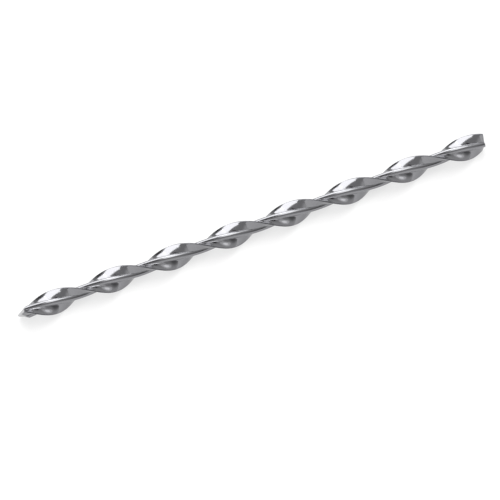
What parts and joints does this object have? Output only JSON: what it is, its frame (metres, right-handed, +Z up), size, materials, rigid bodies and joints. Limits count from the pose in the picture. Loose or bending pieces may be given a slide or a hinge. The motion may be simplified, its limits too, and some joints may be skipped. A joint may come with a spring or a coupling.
{
  "type": "helical nail",
  "caption": "Stainless steel helical nail: a slim bar with wide fins and short ridges, twisted right-handed, with a chisel point at one end and a square cut at the other.",
  "frame": {"origin": "bottom centre of the nail's box, on the surface that the fins lie on, half way along the nail", "axes": "+X along the nail from its chisel point to its square-cut driven end, +Z up; at the square end the fins stand upright"},
  "size_m": [0.175, 0.0082, 0.0082],
  "materials": {
    "stainless_steel": "bright cold-rolled stainless steel, smooth, with fine rolling lines along the twist"
  },
  "bodies": {
    "root": {"helical_nail": "stainless_steel"}
  },
  "joints": []
}
